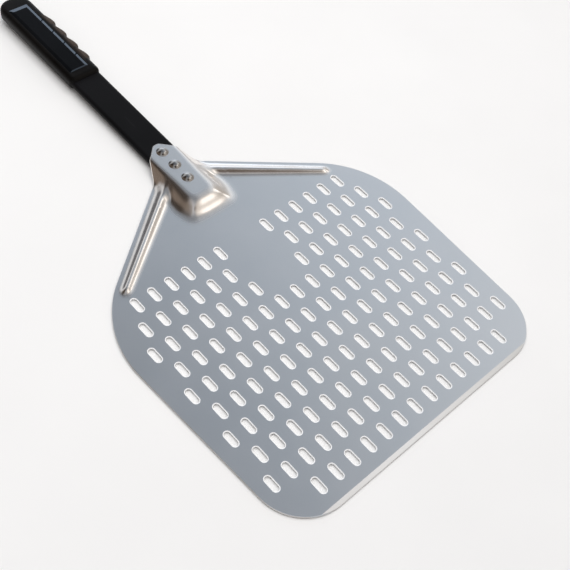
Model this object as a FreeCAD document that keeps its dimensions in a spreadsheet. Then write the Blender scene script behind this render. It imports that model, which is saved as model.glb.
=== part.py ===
"""Perforated pizza peel: a pressed aluminium blade riveted to a flat-oval handle tube with a grip.

Millimetres. +Z is up and the blade lies on z = 0. The origin is on the blade's underside, on the
centre line and midway along the field of slots. +Y points along the handle, -Y to the front edge.

The handle rises a little from the blade, so its pieces are built in a handle frame and then placed:
its origin is on the tube's axis just inside the neck, +Y runs along the tube and +Z out of its top.
"""
import os

import FreeCAD
import Part
import Sketcher

# alias, value, what it is (lengths in mm, angles in degrees)
SIZES = [
    ("sheet_gauge", 1.5, "thickness of the blade's sheet"),
    ("front_reach", 124.7, "origin to the front edge"),
    ("front_half", 144.6, "half width at the front, before rounding"),
    ("rear_reach", 100.5, "origin to the rear corners, before rounding"),
    ("rear_half", 155.2, "half width at the rear corners, before rounding"),
    ("root_reach", 197.3, "origin to where the shoulders meet the neck"),
    ("root_half", 24.5, "half width there"),
    ("nose_reach", 215.5, "origin to where the neck starts to close"),
    ("nose_half", 15.5, "half width there"),
    ("tip_reach", 227.6, "origin to the neck's tip"),
    ("tip_half", 3.0, "half width of the flat tip"),
    ("front_round", 44.0, "front corner radius"),
    ("rear_round", 95.0, "rear corner radius"),
    ("root_round", 20.0, "radius between shoulder and neck"),
    ("nose_round", 4.0, "radius of the neck's end corners"),
    ("bevel_run", 3.9, "width of the front edge's bevel"),
    ("bevel_edge", 0.3, "thickness left at the front edge"),
    ("column_pitch", 17.63, "slot spacing across a row"),
    ("row_pitch", 22.92, "row spacing"),
    ("slot_length", 14.4, "slot length, end to end"),
    ("slot_width", 5.5, "slot width"),
    ("neck_foot_front", 142.5, "origin to the foot of the neck's front wall"),
    ("neck_foot_front_half", 22.5, "half width of the raised neck there, at the sheet"),
    ("neck_foot_middle", 167.0, "origin to the widest part of the raised neck"),
    ("neck_foot_middle_half", 28.0, "half width there, at the sheet"),
    ("neck_foot_rear_half", 20.5, "half width behind the tip, at the sheet"),
    ("neck_crown_front", 2.5, "front end of the flat crown, in the handle frame"),
    ("neck_crown_front_half", 11.5, "half width of the crown there"),
    ("neck_crown_middle", 14.0, "middle of the crown, in the handle frame"),
    ("neck_crown_middle_half", 14.9, "half width of the crown there"),
    ("neck_crown_rear_half", 15.8, "half width of the crown behind the tip"),
    ("neck_overrun", 5.0, "how far the neck's block runs past the tip before it is trimmed"),
    ("neck_foot_inset", 1.4, "how far the hollow's foot lies inside the neck's foot, in gauges"),
    ("neck_rear_inset", 1.2, "the same behind the tip, in gauges"),
    ("neck_crown_inset", 0.6, "how far the hollow's crown lies inside the neck's crown, in gauges"),
    ("neck_crown_rear_inset", 0.8, "the same behind the tip, in gauges"),
    ("rib_start_x", 26.1, "rib's inner end, across"),
    ("rib_start_y", 181.4, "rib's inner end, along"),
    ("rib_end_x", 114.2, "rib's outer end, across"),
    ("rib_end_y", 119.1, "rib's outer end, along"),
    ("rib_start_radius", 11.0, "section radius at the inner end"),
    ("rib_start_rise", 4.0, "height above the sheet at the inner end"),
    ("rib_end_radius", 7.0, "section radius at the outer end"),
    ("rib_end_rise", 3.0, "height above the sheet at the outer end"),
    ("handle_reach", 158.0, "origin to the handle frame's origin"),
    ("handle_rise", 4.8, "height of the handle frame's origin"),
    ("handle_pitch", 1.0, "upward tilt of the handle"),
    ("tube_width", 31.0, "flat-oval tube, across"),
    ("tube_depth", 7.0, "flat-oval tube, top to bottom"),
    ("tube_wall", 1.2, "tube wall"),
    ("tube_start", 14.0, "tube's front end"),
    ("tube_length", 270.0, "tube length"),
    ("insert_length", 54.0, "length of the block inside the tube under the rivets"),
    ("rivet_first", 23.0, "front rivet"),
    ("rivet_pitch", 18.1, "rivet spacing"),
    ("shank_radius", 2.0, "rivet shank radius"),
    ("rivet_head_radius", 5.75, "domed head radius"),
    ("rivet_head_rise", 2.6, "domed head height"),
    ("rivet_tail_radius", 3.6, "set tail radius"),
    ("rivet_tail_rise", 1.1, "set tail height"),
    ("rivet_tail_taper", 0.5, "how much smaller the set tail's outer face is, in radius"),
    ("grip_start", 174.0, "grip's front end"),
    ("grip_length", 130.0, "grip length"),
    ("grip_left", 16.2, "tube axis to the grip's plain side"),
    ("grip_right", 17.7, "tube axis to the grip's finger side"),
    ("grip_above", 6.8, "tube axis to the grip's top"),
    ("grip_below", 6.8, "tube axis to the grip's underside"),
    ("grip_end_round", 14.5, "radius of the grip's rear corners, seen from above"),
    ("grip_front_round", 4.0, "radius of the grip's front corners, seen from above"),
    ("grip_edge_round", 5.0, "radius along the grip's upper and lower edges"),
    ("finger_first", 192.4, "front end of the finger ridges"),
    ("finger_pitch", 18.75, "length of one finger ridge"),
    ("finger_peak", 20.0, "tube axis to a finger ridge's crest"),
    ("finger_radius", 19.5, "radius of a finger ridge, seen from above"),
    ("finger_half_height", 4.4, "half height of a finger ridge"),
    ("panel_left", 10.5, "tube axis to the panel's left edge"),
    ("panel_right", 9.3, "tube axis to the panel's right edge"),
    ("panel_start", 184.7, "panel's front edge"),
    ("panel_length", 102.0, "panel length"),
    ("panel_sunk", 1.5, "panel thickness below the grip's top"),
    ("panel_proud", 1.0, "panel height above the grip's top"),
    ("panel_side_bevel", 2.8, "width of the bevel along the panel's sides"),
    ("panel_rear_bevel", 4.8, "width of the bevel at the panel's rear"),
    ("panel_front_bevel", 0.8, "width of the bevel at the panel's front"),
]

# Slots in each row, from the handle to the front edge: the nearest and the farthest slot from the
# centre line, counted in half pitches. Neighbouring slots are two half pitches apart, and the rows
# nearest the neck leave room for it.
SLOT_ROWS = [(3, 13), (4, 14), (3, 15), (0, 14), (1, 15), (0, 14), (1, 15), (0, 14), (1, 15), (0, 12)]
RIVETS = ["rivet_front", "rivet_middle", "rivet_rear"]
FINGERS = 4
TRIM_HEIGHT = 40.0

doc = FreeCAD.newDocument("PizzaPeel")
sheet = doc.addObject("Spreadsheet::Sheet", "Sizes")
for row, (alias, value, meaning) in enumerate(SIZES, start=1):
    sheet.set("A%d" % row, meaning)
    sheet.set("B%d" % row, str(value))
    sheet.setAlias("B%d" % row, alias)
doc.recompute()


# ---------------------------------------------------------------- helpers

def bind(obj, bindings):
    """Bind properties of an object to expressions on the sheet."""
    for prop, expression in bindings.items():
        obj.setExpression(prop, expression)


def new(kind, name, bindings):
    """Add an object and bind its properties."""
    obj = doc.addObject(kind, name)
    bind(obj, bindings)
    return obj


def join(name, shapes):
    fuse = doc.addObject("Part::MultiFuse", name)
    fuse.Shapes = shapes
    fuse.Refine = True
    return fuse


def cut(name, base, tool):
    result = doc.addObject("Part::Cut", name)
    result.Base = base
    result.Tool = tool
    return result


def turned(obj, axis, angle):
    """Turn an object about an axis through its own origin, before its place is bound."""
    obj.Placement = FreeCAD.Placement(FreeCAD.Vector(), FreeCAD.Rotation(FreeCAD.Vector(*axis), angle))
    return obj


def ride_handle(obj):
    """Put an object that was built in the handle frame in its place on the peel."""
    turned(obj, (1, 0, 0), 1.0)
    bind(obj, {
        "Placement.Base.y": "Sizes.handle_reach",
        "Placement.Base.z": "Sizes.handle_rise",
        "Placement.Rotation.Angle": "Sizes.handle_pitch",
    })
    return obj


def mirrored_corners(corners):
    """Corners of the right half, front to rear, completed with their mirror images."""
    left = [("-(%s)" % across, along) for across, along in reversed(corners)]
    return corners + left


def polygon_sketch(body, name, corners, height="0"):
    """A closed polygon on the body's XY plane, each corner bound to the sheet."""
    sketch = body.newObject("Sketcher::SketchObject", name)
    plane = [f for f in body.Origin.OriginFeatures if f.Role == "XY_Plane"][0]
    sketch.AttachmentSupport = [(plane, "")]
    sketch.MapMode = "FlatFace"
    sketch.setExpression("AttachmentOffset.Base.z", height)
    places = [tuple(float(sketch.evalExpression(term)) for term in corner) for corner in corners]
    for start, end in zip(places, places[1:] + places[:1]):
        sketch.addGeometry(Part.LineSegment(FreeCAD.Vector(*start, 0), FreeCAD.Vector(*end, 0)))
    for index in range(len(corners)):
        following = (index + 1) % len(corners)
        sketch.addConstraint(Sketcher.Constraint("Coincident", index, 2, following, 1))
    for index, corner in enumerate(corners):
        for kind, expression, value in zip(("DistanceX", "DistanceY"), corner, places[index]):
            constraint = sketch.addConstraint(Sketcher.Constraint(kind, -1, 1, index, 1, value))
            sketch.setExpression("Constraints[%d]" % constraint, expression)
    return sketch


def pad(body, name, sketch, length):
    feature = body.newObject("PartDesign::Pad", name)
    feature.Profile = sketch
    feature.setExpression("Length", length)
    return feature


def fillet(body, name, base, radius, wanted):
    """Round the edges of a feature that the test picks out."""
    doc.recompute()
    edges = ["Edge%d" % number for number, edge in enumerate(base.Shape.Edges, start=1) if wanted(edge)]
    feature = body.newObject("PartDesign::Fillet", name)
    feature.Base = (base, edges)
    feature.setExpression("Radius", radius)
    return feature


def upright_near(along_low, along_high):
    """Test for upright edges between two distances along Y."""
    def wanted(edge):
        box = edge.BoundBox
        upright = box.ZLength > 1.0 and box.XLength < 0.01 and box.YLength < 0.01
        return upright and along_low < box.YMin < along_high
    return wanted


def flat_oval(name, width, depth, start, length):
    """A bar of flat-oval section along +Y, centred on the handle axis."""
    middle = new("Part::Box", name + "_middle", {
        "Length": "%s - %s" % (width, depth),
        "Width": length,
        "Height": depth,
        "Placement.Base.x": "(%s - %s) / 2" % (depth, width),
        "Placement.Base.y": start,
        "Placement.Base.z": "-(%s) / 2" % depth,
    })
    pieces = [middle]
    for side, sign in (("right", ""), ("left", "-")):
        edge = turned(doc.addObject("Part::Cylinder", name + "_" + side), (1, 0, 0), -90)
        bind(edge, {
            "Radius": "%s / 2" % depth,
            "Height": length,
            "Placement.Base.x": "%s(%s - %s) / 2" % (sign, width, depth),
            "Placement.Base.y": start,
        })
        pieces.append(edge)
    return join(name, pieces)


def rivet_place(index):
    return "Sizes.rivet_first + %d * Sizes.rivet_pitch" % index


def rivet_bores(name):
    """The three shank holes, as one tool in the handle frame."""
    bores = []
    for index, rivet in enumerate(RIVETS):
        bores.append(new("Part::Cylinder", "%s_%s" % (name, rivet), {
            "Radius": "Sizes.shank_radius",
            "Height": "4 * Sizes.tube_depth",
            "Placement.Base.y": rivet_place(index),
            "Placement.Base.z": "-2 * Sizes.tube_depth",
        }))
    return join(name, bores)


# ---------------------------------------------------------------- blade

def blade_trim():
    """The blade's outline as a tall block, which every raised feature is trimmed to."""
    body = doc.addObject("PartDesign::Body", "blade_trim")
    corners = mirrored_corners([
        ("Sizes.front_half", "-Sizes.front_reach"),
        ("Sizes.rear_half", "Sizes.rear_reach"),
        ("Sizes.root_half", "Sizes.root_reach"),
        ("Sizes.nose_half", "Sizes.nose_reach"),
        ("Sizes.tip_half", "Sizes.tip_reach"),
    ])
    block = pad(body, "blade_trim_pad", polygon_sketch(body, "blade_outline", corners), str(TRIM_HEIGHT))
    corner_rounds = [
        ("front_round", -sheet.front_reach),
        ("rear_round", sheet.rear_reach),
        ("root_round", sheet.root_reach),
        ("nose_round", sheet.nose_reach),
        ("nose_round", sheet.tip_reach),
    ]
    for number, (radius, along) in enumerate(corner_rounds, start=1):
        wanted = upright_near(along - 1, along + 1)
        block = fillet(body, "blade_corner_%d" % number, block, "Sizes." + radius, wanted)
    return body


def neck_block(name, shrink, drop):
    """The raised neck as a tapered block: shrink moves its walls in, drop lowers its crown."""
    body = doc.addObject("PartDesign::Body", name)
    foot = polygon_sketch(body, name + "_foot", mirrored_corners([
        ("Sizes.neck_foot_front_half - Sizes.neck_foot_inset * %s" % shrink,
         "Sizes.neck_foot_front + Sizes.neck_foot_inset * %s" % shrink),
        ("Sizes.neck_foot_middle_half - Sizes.neck_foot_inset * %s" % shrink, "Sizes.neck_foot_middle"),
        ("Sizes.neck_foot_rear_half - Sizes.neck_rear_inset * %s" % shrink,
         "Sizes.tip_reach + Sizes.neck_overrun"),
    ]), "Sizes.sheet_gauge - %s" % drop)
    crown = polygon_sketch(body, name + "_crown", mirrored_corners([
        ("Sizes.neck_crown_front_half - Sizes.neck_crown_inset * %s" % shrink,
         "Sizes.handle_reach + Sizes.neck_crown_front + Sizes.neck_crown_inset * %s" % shrink),
        ("Sizes.neck_crown_middle_half - Sizes.neck_crown_inset * %s" % shrink,
         "Sizes.handle_reach + Sizes.neck_crown_middle"),
        ("Sizes.neck_crown_rear_half - Sizes.neck_crown_rear_inset * %s" % shrink,
         "Sizes.tip_reach + Sizes.neck_overrun"),
    ]))
    bind(crown, {
        "AttachmentOffset.Base.z": "Sizes.handle_rise - Sizes.handle_reach * tan(Sizes.handle_pitch * 1deg)"
                                   " + (Sizes.tube_depth / 2 + Sizes.sheet_gauge - %s)"
                                   " / cos(Sizes.handle_pitch * 1deg)" % drop,
    })
    offset = crown.AttachmentOffset
    offset.Rotation = FreeCAD.Rotation(FreeCAD.Vector(1, 0, 0), 1.0)
    crown.AttachmentOffset = offset
    bind(crown, {"AttachmentOffset.Rotation.Angle": "Sizes.handle_pitch"})
    loft = body.newObject("PartDesign::AdditiveLoft", name + "_loft")
    loft.Profile = foot
    loft.Sections = [crown]
    loft.Ruled = True
    return body


def rib(name, side, shrink):
    """A pressed rib along a shoulder: a cone that lies in the sheet, with a round outer end."""
    start_z = sheet.sheet_gauge + sheet.rib_start_rise - sheet.rib_start_radius
    end_z = sheet.sheet_gauge + sheet.rib_end_rise - sheet.rib_end_radius
    direction = FreeCAD.Vector(
        side * (sheet.rib_end_x - sheet.rib_start_x),
        sheet.rib_end_y - sheet.rib_start_y,
        end_z - start_z,
    )
    cone = new("Part::Cone", name + "_cone", {
        "Radius1": "Sizes.rib_start_radius - %s" % shrink,
        "Radius2": "Sizes.rib_end_radius - %s" % shrink,
    })
    cone.Height = direction.Length
    cone.Placement = FreeCAD.Placement(
        FreeCAD.Vector(side * sheet.rib_start_x, sheet.rib_start_y, start_z),
        FreeCAD.Rotation(FreeCAD.Vector(0, 0, 1), direction),
    )
    end = new("Part::Sphere", name + "_end", {
        "Radius": "Sizes.rib_end_radius - %s" % shrink,
        "Placement.Base.x": "%d * Sizes.rib_end_x" % side,
        "Placement.Base.y": "Sizes.rib_end_y",
        "Placement.Base.z": "Sizes.sheet_gauge + Sizes.rib_end_rise - Sizes.rib_end_radius",
    })
    return [cone, end]


def slot_field():
    """Every slot of the blade as one group of upright cutters."""
    half_width = sheet.slot_width / 2
    half_straight = sheet.slot_length / 2 - half_width
    corner = FreeCAD.Vector(half_width, half_straight, 0)
    front_right = FreeCAD.Vector(corner.x, -corner.y, 0)
    rear_left = FreeCAD.Vector(-corner.x, corner.y, 0)
    front_left = FreeCAD.Vector(-corner.x, -corner.y, 0)
    tip = FreeCAD.Vector(0, sheet.slot_length / 2, 0)
    edges = [
        Part.LineSegment(front_right, corner),
        Part.Arc(corner, tip, rear_left),
        Part.LineSegment(rear_left, front_left),
        Part.Arc(front_left, -tip, front_right),
    ]
    wire = Part.Wire([edge.toShape() for edge in edges])
    cutter = Part.Face(wire).extrude(FreeCAD.Vector(0, 0, 3 * sheet.sheet_gauge))
    cutters = []
    for row, (nearest, farthest) in enumerate(SLOT_ROWS):
        along = sheet.row_pitch * ((len(SLOT_ROWS) - 1) / 2 - row)
        for step in range(nearest, farthest + 1, 2):
            for side in ((1, -1) if step else (1,)):
                across = side * step * sheet.column_pitch / 2
                cutters.append(cutter.translated(FreeCAD.Vector(across, along, -sheet.sheet_gauge)))
    field = doc.addObject("Part::Feature", "slot_field")
    field.Shape = Part.makeCompound(cutters)
    return field


def front_bevel():
    """The wedge that is ground off the top of the front edge."""
    depth = "(Sizes.sheet_gauge - Sizes.bevel_edge)"
    wedge = turned(doc.addObject("Part::Box", "front_bevel"), (1, 0, 0), 1.0)
    bind(wedge, {
        "Length": "2 * Sizes.rear_half",
        "Width": "3 * Sizes.bevel_run",
        "Height": "4 * Sizes.sheet_gauge",
        "Placement.Base.x": "-Sizes.rear_half",
        "Placement.Base.y": "-Sizes.front_reach - Sizes.bevel_run",
        "Placement.Base.z": "Sizes.bevel_edge - %s" % depth,
        "Placement.Rotation.Angle": "atan(%s / Sizes.bevel_run)" % depth,
    })
    return wedge


def blade():
    trim = blade_trim()
    slab = new("Part::Box", "blade_slab", {
        "Length": "4 * Sizes.rear_half",
        "Width": "4 * Sizes.rear_half",
        "Height": "Sizes.sheet_gauge",
        "Placement.Base.x": "-2 * Sizes.rear_half",
        "Placement.Base.y": "Sizes.root_reach - 4 * Sizes.rear_half",
    })
    raised = join("blade_raised", [slab, neck_block("neck_outside", "0", "0")]
                  + rib("right_rib_outside", 1, "0") + rib("left_rib_outside", -1, "0"))
    trimmed = doc.addObject("Part::MultiCommon", "blade_trimmed")
    trimmed.Shapes = [raised, trim]
    gauge = "Sizes.sheet_gauge"
    hollow = join("blade_hollow", [neck_block("neck_inside", gauge, gauge)]
                  + rib("right_rib_inside", 1, gauge) + rib("left_rib_inside", -1, gauge))
    pressed = cut("blade_pressed", trimmed, hollow)
    bored = cut("blade_bored", pressed, ride_handle(rivet_bores("blade_bores")))
    bevelled = cut("blade_bevelled", bored, front_bevel())
    return cut("blade", bevelled, slot_field())


# ---------------------------------------------------------------- handle

def handle_tube():
    outside = flat_oval("tube_outside", "Sizes.tube_width", "Sizes.tube_depth",
                        "Sizes.tube_start", "Sizes.tube_length")
    inside = flat_oval("tube_inside", "(Sizes.tube_width - 2 * Sizes.tube_wall)",
                       "(Sizes.tube_depth - 2 * Sizes.tube_wall)",
                       "Sizes.tube_start", "Sizes.tube_length")
    hollow = cut("tube_hollow", outside, inside)
    return ride_handle(cut("handle_tube", hollow, rivet_bores("tube_bores")))


def neck_insert():
    """The block inside the tube that stops the rivets from crushing it."""
    block = flat_oval("insert_block", "(Sizes.tube_width - 2 * Sizes.tube_wall)",
                      "(Sizes.tube_depth - 2 * Sizes.tube_wall)",
                      "Sizes.tube_start", "Sizes.insert_length")
    return ride_handle(cut("neck_insert", block, rivet_bores("insert_bores")))


def rivet(name, index):
    """Domed head on the neck, shank through tube and insert, and a tail set under the tube."""
    radius = "(Sizes.rivet_head_radius ^ 2 + Sizes.rivet_head_rise ^ 2) / (2 * Sizes.rivet_head_rise)"
    seat = "(Sizes.tube_depth / 2 + Sizes.sheet_gauge)"
    head = new("Part::Sphere", name + "_head", {
        "Radius": radius,
        "Angle1": "asin(1 - Sizes.rivet_head_rise / (%s))" % radius,
        "Placement.Base.y": rivet_place(index),
        "Placement.Base.z": "%s + Sizes.rivet_head_rise - %s" % (seat, radius),
    })
    shank = new("Part::Cylinder", name + "_shank", {
        "Radius": "Sizes.shank_radius",
        "Height": "Sizes.tube_depth / 2 + %s" % seat,
        "Placement.Base.y": rivet_place(index),
        "Placement.Base.z": "-Sizes.tube_depth / 2",
    })
    tail = new("Part::Cone", name + "_tail", {
        "Radius1": "Sizes.rivet_tail_radius - Sizes.rivet_tail_taper",
        "Radius2": "Sizes.rivet_tail_radius",
        "Height": "Sizes.rivet_tail_rise",
        "Placement.Base.y": rivet_place(index),
        "Placement.Base.z": "-Sizes.tube_depth / 2 - Sizes.rivet_tail_rise",
    })
    return ride_handle(join(name, [head, shank, tail]))


# ---------------------------------------------------------------- grip

def grip_core():
    """The grip's plain body: a rounded bar, round at its rear end."""
    body = doc.addObject("PartDesign::Body", "grip_core")
    corners = [
        ("-Sizes.grip_left", "Sizes.grip_start"),
        ("Sizes.grip_right", "Sizes.grip_start"),
        ("Sizes.grip_right", "Sizes.grip_start + Sizes.grip_length"),
        ("-Sizes.grip_left", "Sizes.grip_start + Sizes.grip_length"),
    ]
    sketch = polygon_sketch(body, "grip_outline", corners, "-Sizes.grip_below")
    bar = pad(body, "grip_bar", sketch, "Sizes.grip_above + Sizes.grip_below")
    front = sheet.grip_start
    rear = front + sheet.grip_length
    at_front = upright_near(front - 1, front + 1)
    at_rear = upright_near(rear - 1, rear + 1)
    bar = fillet(body, "grip_front_corners", bar, "Sizes.grip_front_round", at_front)
    bar = fillet(body, "grip_rear_corners", bar, "Sizes.grip_end_round", at_rear)
    fillet(body, "grip_edges", bar, "Sizes.grip_edge_round", lambda edge: edge.BoundBox.ZLength < 0.01)
    return body


def finger_ridges():
    """The row of rounded ridges along the grip's right side."""
    ridges = []
    for index in range(FINGERS):
        ridges.append(new("Part::Cylinder", "finger_ridge_%d" % (index + 1), {
            "Radius": "Sizes.finger_radius",
            "Height": "2 * Sizes.finger_half_height",
            "Placement.Base.x": "Sizes.finger_peak - Sizes.finger_radius",
            "Placement.Base.y": "Sizes.finger_first + %g * Sizes.finger_pitch" % (index + 0.5),
            "Placement.Base.z": "-Sizes.finger_half_height",
        }))
    keep = new("Part::Box", "finger_side", {
        "Length": "2 * Sizes.finger_peak",
        "Width": "Sizes.finger_pitch * %d" % FINGERS,
        "Height": "4 * Sizes.finger_half_height",
        "Placement.Base.y": "Sizes.finger_first",
        "Placement.Base.z": "-2 * Sizes.finger_half_height",
    })
    trimmed = doc.addObject("Part::MultiCommon", "finger_ridges")
    trimmed.Shapes = [join("finger_cylinders", ridges), keep]
    return trimmed


def grip_body():
    sleeve = join("grip_sleeve", [grip_core(), finger_ridges()])
    socket = flat_oval("grip_socket", "Sizes.tube_width", "Sizes.tube_depth", "Sizes.grip_start",
                       "(Sizes.tube_start + Sizes.tube_length - Sizes.grip_start)")
    recess = new("Part::Box", "panel_recess", {
        "Length": "Sizes.panel_left + Sizes.panel_right",
        "Width": "Sizes.panel_length",
        "Height": "2 * Sizes.grip_above",
        "Placement.Base.x": "-Sizes.panel_left",
        "Placement.Base.y": "Sizes.panel_start",
        "Placement.Base.z": "Sizes.grip_above - Sizes.panel_sunk",
    })
    return ride_handle(cut("grip_body", sleeve, join("grip_hollows", [socket, recess])))


def grip_panel():
    """The flat panel let into the grip's top, with bevels all round above the grip."""
    lower = new("Part::Box", "panel_lower", {
        "Length": "Sizes.panel_left + Sizes.panel_right",
        "Width": "Sizes.panel_length",
        "Height": "Sizes.panel_sunk",
        "Placement.Base.x": "-Sizes.panel_left",
        "Placement.Base.y": "Sizes.panel_start",
        "Placement.Base.z": "Sizes.grip_above - Sizes.panel_sunk",
    })
    upper = turned(doc.addObject("Part::Wedge", "panel_upper"), (1, 0, 0), 90)
    bind(upper, {
        "Xmin": "-Sizes.panel_left",
        "Xmax": "Sizes.panel_right",
        "X2min": "Sizes.panel_side_bevel - Sizes.panel_left",
        "X2max": "Sizes.panel_right - Sizes.panel_side_bevel",
        "Ymin": "Sizes.grip_above",
        "Ymax": "Sizes.grip_above + Sizes.panel_proud",
        "Zmin": "-Sizes.panel_start - Sizes.panel_length",
        "Zmax": "-Sizes.panel_start",
        "Z2min": "Sizes.panel_rear_bevel - Sizes.panel_start - Sizes.panel_length",
        "Z2max": "-Sizes.panel_start - Sizes.panel_front_bevel",
    })
    return ride_handle(join("grip_panel", [lower, upper]))


# ---------------------------------------------------------------- build, check and write

parts = [blade(), handle_tube(), neck_insert()]
parts += [rivet(name, index) for index, name in enumerate(RIVETS)]
parts += [grip_body(), grip_panel()]
doc.recompute()

for obj in doc.Objects:
    if "Invalid" in obj.State or "Error" in obj.State:
        raise RuntimeError("%s could not be built: %s" % (obj.Name, obj.State))

os.makedirs("parts", exist_ok=True)
for part in parts:
    part.Label = part.Name
    shape = part.Shape
    if shape.isNull() or not shape.isValid() or len(shape.Solids) != 1:
        raise RuntimeError("%s is not one valid solid" % part.Label)
    shape.exportStep("parts/%s.step" % part.Label)
    box = shape.BoundBox
    print("%-14s volume %9.0f  x %7.1f %7.1f  y %7.1f %7.1f  z %6.2f %6.2f" % (
        part.Label, shape.Volume, box.XMin, box.XMax, box.YMin, box.YMax, box.ZMin, box.ZMax))
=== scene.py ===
"""Looks for the pizza peel: a pressed blade, coated tube, rivets and grip on a pale studio floor.

Lengths in the shape code are millimetres and are scaled to metres when a mesh is made. The blade is
worked out in the part's own frame (origin under the middle of the slots, +Y along the handle, +Z up).
The grip and its panel are worked out along the handle, which rises a little, and then put in place.
"""

import math

import bpy
import numpy as np
from mathutils import Matrix, Vector
from mathutils.geometry import delaunay_2d_cdt


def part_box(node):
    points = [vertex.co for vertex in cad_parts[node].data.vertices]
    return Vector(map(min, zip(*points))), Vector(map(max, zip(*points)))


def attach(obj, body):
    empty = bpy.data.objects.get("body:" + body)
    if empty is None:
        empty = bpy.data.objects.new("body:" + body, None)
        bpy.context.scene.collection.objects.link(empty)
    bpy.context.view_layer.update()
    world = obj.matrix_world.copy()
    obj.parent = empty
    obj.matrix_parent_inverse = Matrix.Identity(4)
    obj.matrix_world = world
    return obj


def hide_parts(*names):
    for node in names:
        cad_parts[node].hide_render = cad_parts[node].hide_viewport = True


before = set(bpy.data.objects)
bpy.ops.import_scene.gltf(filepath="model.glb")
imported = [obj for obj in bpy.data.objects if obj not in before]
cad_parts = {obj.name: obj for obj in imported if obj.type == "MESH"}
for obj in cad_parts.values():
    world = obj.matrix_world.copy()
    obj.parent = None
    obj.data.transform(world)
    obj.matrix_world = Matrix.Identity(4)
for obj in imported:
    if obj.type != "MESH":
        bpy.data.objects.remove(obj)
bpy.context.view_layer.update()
MM = 0.001


def node_box(name):
    """A CAD node's box in millimetres."""
    low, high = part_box(name)
    return np.array(low) / MM, np.array(high) / MM


# ---------------------------------------------------------------- driving sizes, from the frame

BLADE_LOW, BLADE_HIGH = node_box("blade")
GRIP_LOW, GRIP_HIGH = node_box("grip_body")
PANEL_LOW, PANEL_HIGH = node_box("grip_panel")

GAUGE = 1.5
FRONT = BLADE_LOW[1]
TIP = BLADE_HIGH[1]
# corners of the right half of the blade's outline, front to rear: across, along, corner radius
OUTLINE = [
    (144.6, FRONT, 44.0),
    (155.2, 100.5, 95.0),
    (24.5, 197.3, 20.0),
    (15.5, 215.5, 4.0),
    (3.0, TIP, 4.0),
]
COLUMN_PITCH = 17.63
ROW_PITCH = 22.92
SLOT_LENGTH = 14.4
SLOT_WIDTH = 5.5
# nearest and farthest column of each row, rear row first, counted in half pitches from the middle
SLOT_ROWS = [(3, 13), (4, 14), (3, 15), (0, 14), (1, 15), (0, 14), (1, 15), (0, 14), (1, 15), (0, 12)]
# broken edges of the slots and of the sheet, and the bevel along the front
RIM = 0.75
RIM_DROP = 0.25
EDGE_INSET = 0.4
BEVEL_RUN = 3.9
BEVEL_EDGE = 0.3
# heights of the two lines round the sheet's edge, as shares of its thickness
EDGE_STEPS = (0.72, 0.28)
# the chords of a slot's rim come no nearer its middle line than this share of its radius
CHORD_SHARE = 0.98

# the handle's axis: its origin along the peel, its height there and its tilt; and the tube's depth
HANDLE_REACH = 158.0
HANDLE_RISE = 4.8
HANDLE_PITCH = math.radians(1.0)
TUBE_DEPTH = 7.0


# ---------------------------------------------------------------- plane geometry

def mirrored(corners):
    """Right-half points, front to rear, completed with their mirror images."""
    left = [(-c[0],) + tuple(c[1:]) for c in reversed(corners) if c[0] > 0]
    return list(corners) + left


def arc_points(centre, radius, start, sweep, step):
    """Points along an arc, its ends included, no two further apart than step."""
    count = max(2, math.ceil(abs(sweep) * radius / step))
    return [centre + radius * np.array([math.cos(a), math.sin(a)])
            for a in np.linspace(start, start + sweep, count + 1)]


def rounded_outline(corners, step):
    """Points round a polygon whose corners are arcs, no two further apart than step."""
    points = []
    total = len(corners)
    for i, (x, y, radius) in enumerate(corners):
        here = np.array([x, y])
        back = np.array(corners[i - 1][:2]) - here
        ahead = np.array(corners[(i + 1) % total][:2]) - here
        back /= np.linalg.norm(back)
        ahead /= np.linalg.norm(ahead)
        half = math.acos(float(np.clip(back @ ahead, -1, 1))) / 2
        middle = (back + ahead) / np.linalg.norm(back + ahead)
        centre = here + middle * radius / math.sin(half)
        first = here + back * radius / math.tan(half) - centre
        last = here + ahead * radius / math.tan(half) - centre
        start = math.atan2(first[1], first[0])
        sweep = math.atan2(last[1], last[0]) - start
        sweep = (sweep + math.pi) % (2 * math.pi) - math.pi
        points += arc_points(centre, radius, start, sweep, step)
    return subdivided(np.array(points), step)


def subdivided(loop, step):
    """A closed loop with points added until no side is longer than step."""
    result = []
    for a, b in zip(loop, np.roll(loop, -1, axis=0)):
        count = max(1, math.ceil(np.linalg.norm(b - a) / step))
        result += [a + (b - a) * k / count for k in range(count)]
    return np.array(result)


def distance_to(loop, points):
    """Distance from each point to a closed polygon, positive inside."""
    best = np.full(len(points), 1e9)
    inside = np.zeros(len(points), bool)
    for a, b in zip(loop, np.roll(loop, -1, axis=0)):
        run = b - a
        t = np.clip(((points - a) @ run) / (run @ run), 0, 1)
        best = np.minimum(best, np.linalg.norm(points - a - t[:, None] * run, axis=1))
        crosses = (a[1] > points[:, 1]) != (b[1] > points[:, 1])
        with np.errstate(divide="ignore", invalid="ignore"):
            where = (b[0] - a[0]) * (points[:, 1] - a[1]) / (b[1] - a[1]) + a[0]
        inside ^= crosses & (points[:, 0] < where)
    return np.where(inside, best, -best)


def offset_loop(loop, distance):
    """A counter-clockwise loop moved outwards by distance (inwards if negative)."""
    tangent = np.roll(loop, -1, axis=0) - np.roll(loop, 1, axis=0)
    normal = np.stack([tangent[:, 1], -tangent[:, 0]], 1)
    return loop + normal / np.linalg.norm(normal, axis=1)[:, None] * distance


def slot_loop(x, y, grow):
    """A slot's rounded outline, counter-clockwise, grown by grow all round."""
    radius = SLOT_WIDTH / 2 + grow
    half = (SLOT_LENGTH - SLOT_WIDTH) / 2
    ends = [(y + half, 0.0), (y - half, math.pi)]
    return np.array([(x + radius * math.cos(start + turn), centre + radius * math.sin(start + turn))
                     for centre, start in ends for turn in np.linspace(0, math.pi, 11)])


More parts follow.
